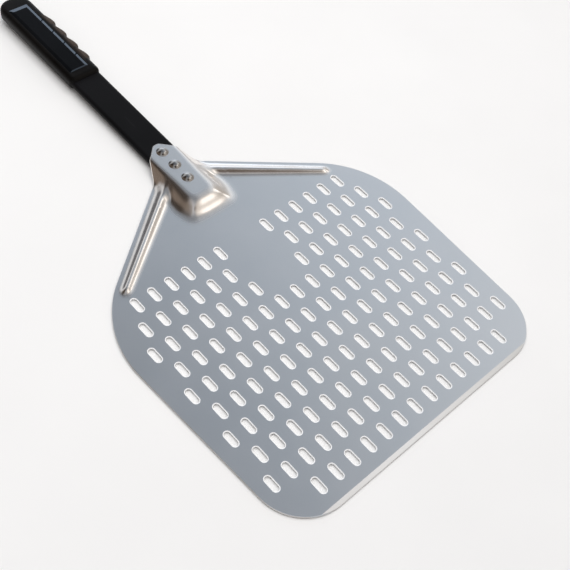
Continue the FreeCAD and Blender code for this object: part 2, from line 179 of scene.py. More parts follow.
def slot_places():
    """The middle of every slot, row by row from the rear."""
    for row, (nearest, farthest) in enumerate(SLOT_ROWS):
        y = ROW_PITCH * ((len(SLOT_ROWS) - 1) / 2 - row)
        for step in range(nearest, farthest + 1, 2):
            for side in ((1, -1) if step else (1,)):
                yield side * step * COLUMN_PITCH / 2, y


# ---------------------------------------------------------------- blade: the pressed surface

# loops round the neck's foot and crown; corners of their right halves, front to rear: across,
# along, corner radius
NECK_FOOT = rounded_outline(mirrored([
    (28.8, 136.7, 13.0), (32.4, 160.0, 30.0), (29.0, 190.0, 60.0), (22.5, 238.0, 5.0)]), 1.5)
NECK_CROWN = rounded_outline(mirrored([
    (9.0, 161.4, 5.0), (10.3, 185.0, 60.0), (12.3, 206.0, 60.0), (14.2, 240.0, 4.0)]), 2.0)
# shares of the neck's flank that curve at its foot and at its crown
NECK_FOOT_ROUNDING = 0.32
NECK_CROWN_ROUNDING = 0.34

# the right shoulder line: a point on it, the way along it and the way in from it
SHOULDER = np.array([77.2, 158.2])
ALONG = np.array([0.8038, -0.5948])
INWARD = np.array([-0.5948, -0.8038])
# a rib's reach along the shoulder line, its rounded far end, and how far in its mesh points go
RIB_FROM, RIB_TO = -49.5, 57.5
RIB_CAP = 6.0
RIB_FIELD = 24.0
# distances in from the shoulder line and height above the sheet, at a rib's neck end and far end
RIB_OUTER = (3.0, 4.5)
RIB_CREST = (11.2, 9.4)
RIB_INNER = (19.2, 15.2)
RIB_RISE = (4.2, 3.2)
# shares of each flank that curve at its foot and at its crown
OUTER_FLANK = (0.2, 0.3)
INNER_FLANK = (0.3, 0.1)
# height over which neck and rib run into each other, radius that softens creases, and the slope
# from which the sheet's painted warm sheen is full
MEETING_BLEND = 5.0
CREASE_ROUNDING = 1.7
PRESSED_SLOPE = 0.22
# mesh points: how far out and how far forward the neck's grid goes, and the spacing
NECK_REACH = 37.0
NECK_START = 130.0
GRID_STEP = 1.4


def ramp(t, foot, crown):
    """0 to 1 with a straight middle, curving over shares foot and crown of the way at its ends."""
    t = np.clip(t, 0, 1)
    top = 1 / (1 - foot / 2 - crown / 2)
    low = top * t ** 2 / (2 * foot)
    high = 1 - top * (1 - t) ** 2 / (2 * crown)
    middle = top * (t - foot / 2)
    return np.where(t < foot, low, np.where(t > 1 - crown, high, middle))


def between(ends, share):
    """The value a share of the way from the first end to the second."""
    return ends[0] + (ends[1] - ends[0]) * share


def crown_height(y):
    """Height of the neck's crown: the sheet lying on the tilted tube."""
    tilt = math.cos(HANDLE_PITCH)
    return HANDLE_RISE + (TUBE_DEPTH / 2 + GAUGE) / tilt + (y - HANDLE_REACH) * math.tan(HANDLE_PITCH)


def neck_rise(points):
    """Height of the pressed neck above the sheet."""
    foot = np.maximum(distance_to(NECK_FOOT, points), 0)
    crown = np.maximum(-distance_to(NECK_CROWN, points), 0)
    share = ramp(foot / np.maximum(foot + crown, 1e-9), NECK_FOOT_ROUNDING, NECK_CROWN_ROUNDING)
    return share * (crown_height(points[:, 1]) - GAUGE)


def rib_rise(points):
    """Height of the two pressed ribs above the sheet."""
    right = np.stack([np.abs(points[:, 0]), points[:, 1]], 1) - SHOULDER
    along = right @ ALONG
    inside = right @ INWARD
    share = np.clip((along - RIB_FROM) / (RIB_TO - RIB_FROM), -0.4, 1)
    outer = between(RIB_OUTER, share)
    crest = between(RIB_CREST, share)
    inner = between(RIB_INNER, share)
    side = np.where(inside < crest, (crest - inside) / (crest - outer), (crest - inside) / (inner - crest))
    past = np.clip((along - (RIB_TO - RIB_CAP)) / RIB_CAP, 0, None)
    fall = np.clip(np.hypot(side, past), 0, 1)
    foot = np.where(side < 0, INNER_FLANK[0], OUTER_FLANK[0])
    crown = np.where(side < 0, INNER_FLANK[1], OUTER_FLANK[1])
    return between(RIB_RISE, share) * ramp(1 - fall, foot, crown)


def pressed_rise(points):
    """Height of neck and ribs above the sheet, run into each other where they meet."""
    neck = neck_rise(points)
    rib = rib_rise(points)
    gap = np.clip(0.5 + (neck - rib) / (2 * MEETING_BLEND), 0, 1)
    fill = MEETING_BLEND * gap * (1 - gap) * np.clip(np.minimum(neck, rib), 0, 1)
    return rib + (neck - rib) * gap + fill


def raised(points):
    """Height of the blade's top above z = 0, its creases rounded by averaging over a small ring."""
    turns = np.arange(6) * math.pi / 3
    ring = CREASE_ROUNDING * np.column_stack([np.cos(turns), np.sin(turns)])
    rise = np.mean([pressed_rise(points + nudge) for nudge in ((0, 0), *ring)], axis=0)
    bevel = (GAUGE - BEVEL_EDGE) * np.clip(1 - (points[:, 1] - FRONT) / BEVEL_RUN, 0, 1)
    return GAUGE + rise - bevel


def underside(top):
    """Height of the sheet's lower face: on the floor where level, one gauge below the top where raised."""
    return np.where(top <= GAUGE + 1e-6, 0.0, top - GAUGE)


def grid_where_raised(step):
    """Points over the pressed parts: a staggered grid over the neck, rows along each rib beyond it."""
    xs = np.arange(-NECK_REACH, NECK_REACH, step)
    ys = np.arange(NECK_START, TIP, step * math.sqrt(3) / 2)
    neck = np.array([(x + (k % 2) * step / 2, y) for k, y in enumerate(ys) for x in xs])
    along = np.arange(RIB_FROM, RIB_TO + RIB_CAP, 1.6 * step)
    inside = np.arange(0, RIB_FIELD, 0.6 * step)
    rib = np.array([SHOULDER + a * ALONG + b * INWARD for a in along for b in inside])
    rib = rib[rib[:, 0] > NECK_REACH + step / 2]
    grid = np.vstack([neck, rib, rib * (-1, 1)])
    near = pressed_rise(grid) > 1e-4
    for turn in np.arange(8) * math.pi / 4:
        nudge = 2 * CREASE_ROUNDING * np.array([math.cos(turn), math.sin(turn)])
        near |= pressed_rise(grid + nudge) > 1e-4
    return grid[near]


# ---------------------------------------------------------------- meshes

def make_object(name, vertices, faces, materials, face_material=None, sharp=None, smooth=True):
    """A mesh object from millimetre vertices."""
    mesh = bpy.data.meshes.new(name)
    mesh.from_pydata([tuple(v) for v in np.asarray(vertices) * MM], [], faces)
    mesh.validate()
    for material in materials:
        mesh.materials.append(material)
    if face_material is not None:
        mesh.polygons.foreach_set("material_index", face_material)
    mesh.polygons.foreach_set("use_smooth", [smooth] * len(mesh.polygons))
    if sharp:
        keys = set(sharp)
        flags = [(min(e.vertices), max(e.vertices)) in keys for e in mesh.edges]
        stored = mesh.attributes.new("sharp_edge", "BOOLEAN", "EDGE")
        stored.data.foreach_set("value", flags)
    mesh.update()
    obj = bpy.data.objects.new(name, mesh)
    bpy.context.scene.collection.objects.link(obj)
    return obj


def with_points_at(loops, level):
    """Loops that match point for point, with a point added wherever the first crosses y = level."""
    base = loops[0]
    fuller = [[] for _ in loops]
    added = []
    for k in range(len(base)):
        ahead = (k + 1) % len(base)
        before, after = base[k][1] - level, base[ahead][1] - level
        for result, loop in zip(fuller, loops):
            result.append(loop[k])
        if before * after < 0:
            added.append(len(fuller[0]))
            share = before / (before - after)
            for result, loop in zip(fuller, loops):
                result.append(loop[k] + share * (loop[ahead] - loop[k]))
    return [np.array(result) for result in fuller], added


def sheet_triangles(loops, slots, crease, loose):
    """The sheet seen from above: its points, its triangles, and where each loop's points ended up."""
    edges = []
    starts = []
    count = 0
    for loop in loops:
        starts.append(count)
        edges += [(count + k, count + (k + 1) % len(loop)) for k in range(len(loop))]
        count += len(loop)
    edges.append(tuple(crease))
    points = np.vstack(loops + [loose])
    found, _, triangles, origin, _, _ = delaunay_2d_cdt([Vector(p) for p in points], edges, [], 0, 1e-5)
    flat = np.array([tuple(p) for p in found])
    place = {old: new for new, olds in enumerate(origin) for old in olds}
    rings = [[place[start + k] for k in range(len(loop))] for start, loop in zip(starts, loops)]
    middles = np.array([flat[list(t)].mean(0) for t in triangles])
    keep = distance_to(loops[0], middles) > 0
    half = (SLOT_LENGTH - SLOT_WIDTH) / 2
    for x, y in slots:
        off = np.hypot(middles[:, 0] - x, np.maximum(np.abs(middles[:, 1] - y) - half, 0))
        keep &= off > (SLOT_WIDTH / 2 + RIM) * CHORD_SHARE
    return flat, [tuple(t) for t, k in zip(triangles, keep) if k], rings


def blade_mesh():
    """Vertices, faces, each face's material (1 where cut) and the sharp edges of the pressed sheet."""
    crest = FRONT + BEVEL_RUN
    outer = rounded_outline(mirrored(OUTLINE), 2.5)
    (inner, outer), crease = with_points_at([offset_loop(outer, -EDGE_INSET), outer], crest)
    slots = list(slot_places())
    loose = grid_where_raised(GRID_STEP)
    loose = loose[distance_to(inner, loose) > EDGE_INSET]
    loops = [inner] + [slot_loop(x, y, RIM) for x, y in slots]
    flat, triangles, rings = sheet_triangles(loops, slots, crease, loose)

    top = raised(flat)
    count = len(flat)
    layers = [np.column_stack([flat, top]), np.column_stack([flat, underside(top)])]
    faces = triangles + [tuple(count + v for v in reversed(t)) for t in triangles]
    cut = [0] * len(faces)
    creases = [v for v in range(count) if abs(flat[v][1] - crest) < 1e-3]
    creases.sort(key=lambda v: flat[v][0])
    sharp = list(zip(creases, creases[1:]))

    def add_wall(top_ring, loop, heights, kind, inward):
        """Join the sheet's two faces round a loop, through one ring of points at each height."""
        nonlocal faces, cut, sharp
        size = len(loop)
        start = sum(len(layer) for layer in layers)
        around = [top_ring]
        for step, height in enumerate(heights):
            layers.append(np.column_stack([loop, np.broadcast_to(height, size)]))
            around.append([start + step * size + k for k in range(size)])
        around.append([count + v for v in top_ring])
        for upper, lower in zip(around, around[1:]):
            for k in range(size):
                after = (k + 1) % size
                quad = (upper[k], lower[k], lower[after], upper[after])
                faces.append(quad[::-1] if inward else quad)
        cut += [kind] * size * (len(around) - 1)
        for ring in around:
            sharp += [(ring[k], ring[(k + 1) % size]) for k in range(size)]

    low = underside(raised(outer))
    thick = raised(outer) - low
    add_wall(rings[0], outer, [low + share * thick for share in EDGE_STEPS], 0, False)
    for (x, y), ring in zip(slots, rings[1:]):
        add_wall(ring, slot_loop(x, y, 0), (GAUGE - RIM_DROP, RIM_DROP), 1, True)

    vertices = np.vstack(layers)
    used = np.zeros(len(vertices), bool)
    for face in faces:
        used[list(face)] = True
    number = np.cumsum(used) - 1
    faces = [tuple(int(number[v]) for v in face) for face in faces]
    sharp = [tuple(sorted((int(number[a]), int(number[b])))) for a, b in sharp if used[a] and used[b]]
    return vertices[used], faces, cut, sharp


# ---------------------------------------------------------------- the grip and its panel, along the handle

# the sleeve: its rounded edges, half its depth, its sides and the corners of its plan
EDGE_ROUND = 5.0
GRIP_HALF_DEPTH = 6.8
GRIP_LEFT = GRIP_LOW[0]
GRIP_RIGHT = 17.0
FRONT_ROUND = 5.4
REAR_ROUND = 14.5
# the finger ridges: number, start, pitch and height, where each peaks along its pitch, and the
# heights off the tube's axis up to which they are full and beyond which there are none
FINGERS = 4
FINGER_FIRST = 192.4
FINGER_PITCH = 18.75
FINGER_SWELL = GRIP_HIGH[0] - GRIP_RIGHT
FINGER_CREST = 0.34
FINGER_FULL = 2.8
FINGER_NONE = 7.6
# the flank of a ridge that carries the painted brown sheen: its lower edge, its fades at the lower and
# the upper edge, and how far above the sleeve's half depth the upper fade ends
PAD_LOW = 2.4
PAD_FADE_LOW = 1.2
PAD_FADE_HIGH = 0.5
PAD_OVER = 0.2

# the panel: how deep it sits, how far it stands out, the gap round it and its bevels
PANEL_SUNK = 1.5
PANEL_PROUD = 1.0
PANEL_GAP = 0.12
SIDE_BEVEL = 2.8
REAR_BEVEL = 4.8
FRONT_BEVEL = 0.8
# the notches across the panel's finger-side bevel
NOTCH_FIRST = 203.4
NOTCH_WIDTH = 1.5
NOTCH_SLANT = 2.3
NOTCH_DEPTH = 0.9


def along_handle(y, height):
    """Distance along the tilted handle of a point at y in the frame and height off the tube's axis."""
    return (y - HANDLE_REACH + height * math.sin(HANDLE_PITCH)) / math.cos(HANDLE_PITCH)


GRIP_START = along_handle(GRIP_LOW[1], GRIP_HALF_DEPTH - EDGE_ROUND)
GRIP_END = along_handle(GRIP_HIGH[1], EDGE_ROUND - GRIP_HALF_DEPTH)
PANEL_TOP = GRIP_HALF_DEPTH + PANEL_PROUD
PANEL_FLOOR = GRIP_HALF_DEPTH - PANEL_SUNK
PANEL_START = along_handle(PANEL_LOW[1], PANEL_TOP)
PANEL_END = along_handle(PANEL_HIGH[1], PANEL_FLOOR)


def off_handle(points):
    """Points (across, along the handle, off its axis) in the part's own frame."""
    across, along, height = np.asarray(points, float).T
    y = HANDLE_REACH + along * math.cos(HANDLE_PITCH) - height * math.sin(HANDLE_PITCH)
    z = HANDLE_RISE + along * math.sin(HANDLE_PITCH) + height * math.cos(HANDLE_PITCH)
    return np.column_stack([across, y, z])


def finger_swell(along):
    """How far the finger ridges stand out: four humps, steeper at the front, meeting in creases."""
    turn = (along - FINGER_FIRST) / FINGER_PITCH
    share = turn - np.floor(turn)
    front = np.sin(math.pi / 2 * share / FINGER_CREST)
    rear = np.cos(math.pi / 2 * (share - FINGER_CREST) / (1 - FINGER_CREST))
    hump = np.where(share < FINGER_CREST, front, rear)
    return np.where((turn >= 0) & (turn < FINGERS), hump, 0) * FINGER_SWELL


def grip_ring(inset, height):
    """One loop round the grip at a height, counter-clockwise from its front right corner."""
    left, right = GRIP_LEFT + inset, GRIP_RIGHT - inset
    front, rear = GRIP_START + inset, GRIP_END - inset
    nose, tail = FRONT_ROUND - inset, REAR_ROUND - inset
    last = FINGER_FIRST + FINGERS * FINGER_PITCH
    stations = np.concatenate([
        np.linspace(GRIP_START + FRONT_ROUND, FINGER_FIRST, 6)[1:-1],
        np.linspace(FINGER_FIRST, last, FINGERS * 14 + 1),
        np.linspace(last, GRIP_END - REAR_ROUND, 5)[1:-1]])
    fade = np.clip((FINGER_NONE - abs(height)) / (FINGER_NONE - FINGER_FULL), 0, 1)
    swell = finger_swell(stations) * fade * fade * (3 - 2 * fade)
    side = np.column_stack([right + swell, stations])

    def corner(x, y, radius, start, count):
        turns = start + np.linspace(0, math.pi / 2, count)
        return np.column_stack([x + radius * np.cos(turns), y + radius * np.sin(turns)])

    loop = np.vstack([
        corner(right - nose, front + nose, nose, -math.pi / 2, 7),
        side,
        corner(right - tail, rear - tail, tail, 0, 15),
        corner(left + tail, rear - tail, tail, math.pi / 2, 15),
        corner(left + nose, front + nose, nose, math.pi, 7)])
    return np.column_stack([loop, np.full(len(loop), height)])


def painted_sheen_share(along, height):
    """Where the painted brown sheen goes: 1 on the upper flank of a finger ridge, 0 off it and in the
    creases.
    """
    above = np.clip((height - PAD_LOW) / PAD_FADE_LOW, 0, 1)
    below = np.clip((GRIP_HALF_DEPTH + PAD_OVER - height) / PAD_FADE_HIGH, 0, 1)
    return np.sqrt(np.clip(finger_swell(along) / FINGER_SWELL, 0, 1)) * (above * below)


def ring_faces(low, high, size):
    """Quads between two loops of vertex numbers that start at low and high."""
    return [(low + k, low + (k + 1) % size, high + (k + 1) % size, high + k) for k in range(size)]


def cap_with_hole(outer, hole):
    """Triangles (numbers into outer then hole) between two counter-clockwise loops."""
    edges = [(k, (k + 1) % len(outer)) for k in range(len(outer))]
    edges += [(len(outer) + k, len(outer) + (k + 1) % len(hole)) for k in range(len(hole))]
    points = np.vstack([outer, hole])
    found, _, triangles, origin, _, _ = delaunay_2d_cdt([Vector(p) for p in points], edges, [], 0, 1e-6)
    source = {new: olds[0] for new, olds in enumerate(origin) if olds}
    middles = np.array([np.mean([found[v] for v in t], axis=0) for t in triangles])
    keep = (distance_to(outer, middles) > 0) & (distance_to(hole, middles) < 0)
    return [tuple(source[v] for v in t) for t, k in zip(triangles, keep) if k]


def panel_corners(side, rear, front):
    """The panel's outline drawn in by its bevels, counter-clockwise from the front left."""
    left, right = PANEL_LOW[0] + side, PANEL_HIGH[0] - side
    return np.array([(left, PANEL_START + front), (right, PANEL_START + front),
                     (right, PANEL_END - rear), (left, PANEL_END - rear)])


def grip_mesh():
    """The sleeve: rounded edges, finger ridges down its right side, and a recess in its top."""
    turns = np.linspace(0, math.pi / 2, 9)
    core = GRIP_HALF_DEPTH - EDGE_ROUND
    levels = [(EDGE_ROUND * (1 - math.cos(t)), core + EDGE_ROUND * math.sin(t)) for t in turns]
    levels = [(inset, -height) for inset, height in reversed(levels)] + levels
    rings = [grip_ring(inset, height) for inset, height in levels]
    size = len(rings[0])
    faces = []
    for k in range(len(rings) - 1):
        faces += ring_faces(k * size, (k + 1) * size, size)
    faces.append(tuple(reversed(range(size))))

    recess = panel_corners(-PANEL_GAP, -PANEL_GAP, -PANEL_GAP)
    top = (len(rings) - 1) * size
    rim = len(rings) * size
    well = rim + len(recess)
    for triangle in cap_with_hole(rings[-1][:, :2], recess):
        faces.append(tuple(top + v if v < size else rim + v - size for v in triangle))
    faces += [face[::-1] for face in ring_faces(well, rim, len(recess))]
    faces.append(tuple(range(well, well + len(recess))))
    lips = [np.column_stack([recess, np.full(len(recess), height)])
            for height in (GRIP_HALF_DEPTH, PANEL_FLOOR)]
    points = np.vstack(rings + lips)
    on_side = points[:, 0] > PANEL_HIGH[0] + 1
    painted_sheen_on_ridges = np.where(on_side, painted_sheen_share(points[:, 1], points[:, 2]), 0)
    return off_handle(points), faces, painted_sheen_on_ridges


def panel_mesh():
    """The panel: a flat top, a bevel all round, and notches that slant across the finger-side bevel."""
    notches = NOTCH_FIRST + FINGER_PITCH * np.arange(FINGERS)

    def with_notches(corners, slant, height, depth):
        """The loop with three stations for each notch on its right side, the middle one sunk."""
        right = corners[1][0]
        loop = [(*corners[0], height), (*corners[1], height)]
        for middle in notches - slant:
            loop += [(right, middle - NOTCH_WIDTH / 2, height), (right, middle, height - depth),
                     (right, middle + NOTCH_WIDTH / 2, height)]
        return loop + [(*corners[2], height), (*corners[3], height)]

    outer = panel_corners(0, 0, 0)
    inner = panel_corners(SIDE_BEVEL, REAR_BEVEL, FRONT_BEVEL)
    foot = with_notches(outer, 0, PANEL_FLOOR, 0)
    edge = with_notches(outer, 0, GRIP_HALF_DEPTH, NOTCH_DEPTH)
    crest = with_notches(inner, NOTCH_SLANT, PANEL_TOP, NOTCH_DEPTH)
    size = len(foot)
    sides = ring_faces(0, size, size)
    bevels = ring_faces(size, 2 * size, size)
    sunk = [3 + 3 * k for k in range(FINGERS)]
    ends = [(2 * size + k - 1, 2 * size + k, 2 * size + k + 1) for k in sunk]
    top = tuple(2 * size + k for k in range(size) if k not in sunk)
    faces = sides + bevels + ends + [top, tuple(reversed(range(size)))]
    # every bevel but the left one takes the second material, whose lighter blue colour is a painted
    # highlight
    bevel_kinds = [1] * (size - 1) + [0]
    kinds = [0] * len(sides) + bevel_kinds + [0] * (len(ends) + 2)
    return off_handle(foot + edge + crest), faces, kinds


# ---------------------------------------------------------------- materials

def surface(name, metallic, specular):
    """A new material, with its node tree and its shader."""
    material = bpy.data.materials.new(name)
    material.use_nodes = True
    shader = material.node_tree.nodes["Principled BSDF"]
    shader.inputs["Metallic"].default_value = metallic
    shader.inputs["Specular IOR Level"].default_value = specular
    return material, material.node_tree, shader


def noise(tree, scale, detail=3.0, stretch=(1, 1, 1)):
    """Noise fixed to the object, scale in features per metre."""
    where = tree.nodes.new("ShaderNodeTexCoord")
    mapping = tree.nodes.new("ShaderNodeMapping")
    mapping.inputs["Scale"].default_value = stretch
    texture = tree.nodes.new("ShaderNodeTexNoise")
    texture.inputs["Scale"].default_value = scale
    texture.inputs["Detail"].default_value = detail
    tree.links.new(where.outputs["Object"], mapping.inputs["Vector"])
    tree.links.new(mapping.outputs["Vector"], texture.inputs["Vector"])
    return texture.outputs[0]


def remap(tree, value, low, high, start=0.3, end=0.7):
    """The value's range start to end, spread over low to high."""
    node = tree.nodes.new("ShaderNodeMapRange")
    node.inputs["From Min"].default_value = start
    node.inputs["From Max"].default_value = end
    node.inputs["To Min"].default_value = low
    node.inputs["To Max"].default_value = high
    tree.links.new(value, node.inputs["Value"])
    return node.outputs["Result"]


def add(tree, a, b):
    """The sum of two outputs."""
    node = tree.nodes.new("ShaderNodeMath")
    node.operation = "ADD"
    tree.links.new(a, node.inputs[0])
    tree.links.new(b, node.inputs[1])
    return node.outputs["Value"]


def blend(tree, factor, a, b):
    """Colour a where the factor is 0 and b where it is 1; each is a colour or an output."""
    node = tree.nodes.new("ShaderNodeMix")
    node.data_type = "RGBA"
    tree.links.new(factor, node.inputs["Factor"])
    for name, colour in (("A", a), ("B", b)):
        if isinstance(colour, tuple):
            node.inputs[name].default_value = (*colour, 1)
        else:
            tree.links.new(colour, node.inputs[name])
    return node.outputs["Result"]


def attribute(tree, name):
    """A number stored on the mesh's vertices."""
    node = tree.nodes.new("ShaderNodeAttribute")
    node.attribute_name = name
    return node.outputs["Fac"]


def relief(tree, shader, height, depth):
    """Bump the shader by a height map whose full range is depth metres."""
    bump = tree.nodes.new("ShaderNodeBump")
    bump.inputs["Strength"].default_value = 1.0
    bump.inputs["Distance"].default_value = depth
    tree.links.new(height, bump.inputs["Height"])
    tree.links.new(bump.outputs["Normal"], shader.inputs["Normal"])


def satin_aluminium():
    """Anodised sheet: mottled blue-grey with a fine grain, smoother on the steep pressed flanks, which
    carry a painted warm sheen: a warmer, brighter colour in place of reflections.
    """
    material, tree, shader = surface("satin_aluminium", 1.0, 0.5)
    mottle = noise(tree, 14, 4)
    level = blend(tree, remap(tree, mottle, 0, 1), (0.735, 0.775, 0.815), (0.785, 0.815, 0.85))
    smudge = remap(tree, noise(tree, 5, 2), 0, 0.35, 0.5, 0.75)
    level = blend(tree, smudge, level, (0.74, 0.76, 0.77))
    # painted sheen: the steep flanks of the neck and ribs get a warmer, brighter colour in place of the
    # reflections they would show
    pressed = attribute(tree, "pressed")
    streak = noise(tree, 60, 3, (1.0, 0.4, 1.0))
    painted_warm_sheen = blend(tree, remap(tree, streak, 0, 1), (0.86, 0.82, 0.785), (0.95, 0.925, 0.90))
    colour = blend(tree, pressed, level, painted_warm_sheen)
    tree.links.new(colour, shader.inputs["Base Color"])
    grain = noise(tree, 5200, 2)
    rough = add(tree, remap(tree, mottle, 0.285, 0.33), remap(tree, pressed, 0, -0.10, 0, 1))
    tree.links.new(rough, shader.inputs["Roughness"])
    relief(tree, shader, grain, 0.000003)
    return material


def cut_metal():
    """Freshly cut edges of the sheet, bright and finely torn."""
    material, tree, shader = surface("cut_metal", 0.0, 0.3)
    streak = noise(tree, 900, 2, (1, 1, 0.3))
    tree.links.new(blend(tree, remap(tree, streak, 0, 1), (0.88, 0.89, 0.90), (0.97, 0.98, 0.99)),
                   shader.inputs["Base Color"])
    tree.links.new(remap(tree, streak, 0.35, 0.55), shader.inputs["Roughness"])
    relief(tree, shader, streak, 0.00004)
    return material


def plain_aluminium():
    """The insert: bare extrusion with faint lines along the handle."""
    material, tree, shader = surface("plain_aluminium", 1.0, 0.5)
    lines = noise(tree, 700, 2, (1, 0.03, 1))
    tree.links.new(blend(tree, remap(tree, lines, 0, 1), (0.56, 0.57, 0.59), (0.68, 0.68, 0.70)),
                   shader.inputs["Base Color"])
    tree.links.new(remap(tree, lines, 0.32, 0.5), shader.inputs["Roughness"])
    relief(tree, shader, lines, 0.00003)
    return material


def black_coat():
    """Powder coat: matt black with a very fine orange peel and a few dusty scuffs."""
    material, tree, shader = surface("black_coat", 0.0, 0.10)
    cloud = noise(tree, 30, 4)
    colour = blend(tree, remap(tree, cloud, 0, 1), (0.0030, 0.0030, 0.0034), (0.0052, 0.0050, 0.0060))
    scuff = remap(tree, noise(tree, 240, 3, (1, 0.12, 1)), 0, 0.4, 0.66, 0.8)
    tree.links.new(blend(tree, scuff, colour, (0.03, 0.03, 0.032)), shader.inputs["Base Color"])
    tree.links.new(remap(tree, cloud, 0.42, 0.55), shader.inputs["Roughness"])
    relief(tree, shader, noise(tree, 2600, 2), 0.00002)
    return material


def grip_plastic():
    """Moulded rubbery plastic: black, with a painted brown sheen on the upper flanks of the finger ridges
    in place of their reflections.
    """
    material, tree, shader = surface("grip_plastic", 0.0, 0.10)
    cloud = noise(tree, 45, 3)
    black = blend(tree, remap(tree, cloud, 0, 1), (0.0020, 0.0018, 0.0017), (0.0045, 0.0036, 0.0032))
    speck = noise(tree, 1100, 2)
    brown = blend(tree, remap(tree, speck, 0, 1), (0.030, 0.019, 0.013), (0.070, 0.048, 0.035))
    # painted sheen: the finger ridges' upper flanks are coloured brown where they would mirror warm light
    colour = blend(tree, attribute(tree, "painted_sheen"), black, brown)
    tree.links.new(colour, shader.inputs["Base Color"])
    tree.links.new(remap(tree, cloud, 0.3, 0.44), shader.inputs["Roughness"])
    relief(tree, shader, noise(tree, 1800, 2), 0.00003)
    return material


def panel_plastic(name, dark, light, smooth, rough, specular, tint):
    """Harder plastic of the panel, with faint scratches along the handle."""
    material, tree, shader = surface(name, 0.0, specular)
    shader.inputs["Specular Tint"].default_value = (*tint, 1)
    cloud = noise(tree, 25, 3)
    tree.links.new(blend(tree, remap(tree, cloud, 0, 1), dark, light), shader.inputs["Base Color"])
    scratch = noise(tree, 900, 2, (1, 0.05, 1))
    tree.links.new(remap(tree, scratch, smooth, rough), shader.inputs["Roughness"])
    relief(tree, shader, scratch, 0.00001)
    return material


def polished_steel():
    """Rivet heads: bright, with fine handling marks."""
    material, tree, shader = surface("polished_steel", 1.0, 0.5)
    marks = noise(tree, 1400, 3)
    tree.links.new(blend(tree, remap(tree, marks, 0, 1), (0.36, 0.355, 0.35), (0.52, 0.51, 0.50)),
                   shader.inputs["Base Color"])
    tree.links.new(remap(tree, marks, 0.06, 0.14), shader.inputs["Roughness"])
    relief(tree, shader, marks, 0.00001)
    return material


def studio_paper():
    """The pale floor."""
    material, tree, shader = surface("studio_paper", 0.0, 0.1)
    fibre = noise(tree, 8, 3)
    tree.links.new(blend(tree, remap(tree, fibre, 0, 1), (0.89, 0.89, 0.89), (0.91, 0.91, 0.91)),
                   shader.inputs["Base Color"])
    tree.links.new(remap(tree, fibre, 0.85, 0.95), shader.inputs["Roughness"])
    return material


# ---------------------------------------------------------------- pieces

def mark(piece, name, values):
    """Store one number per vertex for the piece's material to read."""
    stored = piece.data.attributes.new(name, "FLOAT", "POINT")
    stored.data.foreach_set("value", values)


def stand_for(piece, node):
    """Show a piece in place of a CAD node: hang it under the root body and hide the node."""
    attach(piece, "root")
    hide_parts(node)


def pressed_share(mesh):
    """0 where the sheet is level, 1 where the neck and ribs have left it steep: how much painted warm
    sheen each vertex gets.
    """
    place = np.array([v.co for v in mesh.vertices]) / MM
    normal = np.array([v.normal for v in mesh.vertices])
    slope = np.hypot(normal[:, 0], normal[:, 1]) / np.maximum(abs(normal[:, 2]), 0.1)
    off_level = (place[:, 2] > 0.02) & (abs(place[:, 2] - GAUGE) > 0.02)
    behind_bevel = place[:, 1] > FRONT + 2 * BEVEL_RUN
    return np.where(off_level & behind_bevel, np.clip(slope / PRESSED_SLOPE, 0, 1), 0)


def build_blade():
    """The pressed sheet, in place of the CAD's."""
    vertices, faces, cut, sharp = blade_mesh()
    piece = make_object("pressed_blade", vertices, faces, [satin_aluminium(), cut_metal()], cut, sharp)
    # store where the painted warm sheen goes, for the material to read
    mark(piece, "pressed", pressed_share(piece.data))
    stand_for(piece, "blade")


def build_grip():
    """The moulded sleeve, in place of the CAD's."""
    vertices, faces, painted_sheen_on_ridges = grip_mesh()
    piece = make_object("grip_sleeve", vertices, faces, [grip_plastic()])
    piece.data.set_sharp_from_angle(angle=math.radians(34))
    # store where the painted brown sheen goes, for the material to read
    mark(piece, "painted_sheen", painted_sheen_on_ridges)
    stand_for(piece, "grip_body")


def build_panel():
    """The bevelled panel, in place of the CAD's."""
    vertices, faces, kinds = panel_mesh()
    top = panel_plastic("panel_plastic", (0.0020, 0.0025, 0.0034), (0.0036, 0.0042, 0.0055),
                        0.29, 0.37, 0.06, (1, 1, 1))
    # painted highlight: the bevel is the top's plastic given a lighter blue colour; its stronger
    # blue-tinted specular makes it really glossier
    bevel = panel_plastic("panel_bevel_painted_highlight", (0.014, 0.019, 0.028), (0.020, 0.026, 0.038),
                          0.18, 0.25, 0.9, (0.60, 0.78, 1))
    piece = make_object("bevelled_panel", vertices, faces, [top, bevel], kinds, smooth=False)
    stand_for(piece, "grip_panel")


def dress(node, material):
    """Give a CAD node a finish and smooth its round faces."""
    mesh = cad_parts[node].data
    mesh.materials.clear()
    mesh.materials.append(material)
    mesh.polygons.foreach_set("use_smooth", [True] * len(mesh.polygons))
    mesh.set_sharp_from_angle(angle=math.radians(28))


build_blade()
build_grip()
build_panel()
dress("handle_tube", black_coat())
dress("neck_insert", plain_aluminium())
steel = polished_steel()
for rivet in ("rivet_front", "rivet_middle", "rivet_rear"):
    dress(rivet, steel)


# ---------------------------------------------------------------- studio

CAMERA_AZIMUTH = 216.62
CAMERA_ELEVATION = 53.79
CAMERA_ROLL = 13.46
CAMERA_DISTANCE = 0.79039
CAMERA_LENS = 59.18
# where the camera looks, from the middle of the blade
CAMERA_AIM = (-0.0034, -0.0055)
BACKDROP = (0.55, 0.55, 0.56)
FLOOR_GAP = 0.0008
FLOOR_SIZE = 30.0
KEY_PLACE = (0.15, 0.45, 1.75)
KEY_AIM = (0, 0.05, 0)
KEY_SIZE = 2.0
KEY_POWER = 25
# what level metal mirrors on the left and on the right
LEFT_SKY = (0.212, 0.228, 0.253)
RIGHT_SKY = (0.78, 0.815, 0.86)


